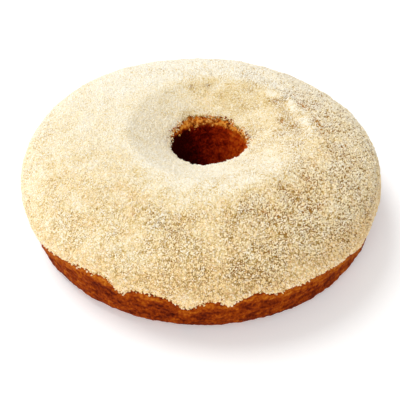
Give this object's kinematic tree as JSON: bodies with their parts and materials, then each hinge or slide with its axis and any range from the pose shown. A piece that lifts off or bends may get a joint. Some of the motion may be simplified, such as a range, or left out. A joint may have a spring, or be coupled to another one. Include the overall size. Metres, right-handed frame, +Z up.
{
  "type": "milk powder cake",
  "caption": "Round ring cake with a domed top, a funnel-shaped hole in the middle and a browned crust, coated with clumpy milk powder over its top and upper sides.",
  "frame": {"origin": "middle of the cake's box, on the surface that its base rests on", "axes": "+Z up out of the hole, -Y towards the camera's side of the picture, +X to its right"},
  "size_m": [0.24, 0.2396, 0.0645],
  "materials": {
    "crust": "browned baked crust, slightly craggy and mostly matt",
    "milk_powder": "dry clumpy powder, granular and matt"
  },
  "bodies": {
    "root": {"cake_ring": "crust", "milk_powder_coat": "milk_powder"}
  },
  "joints": []
}
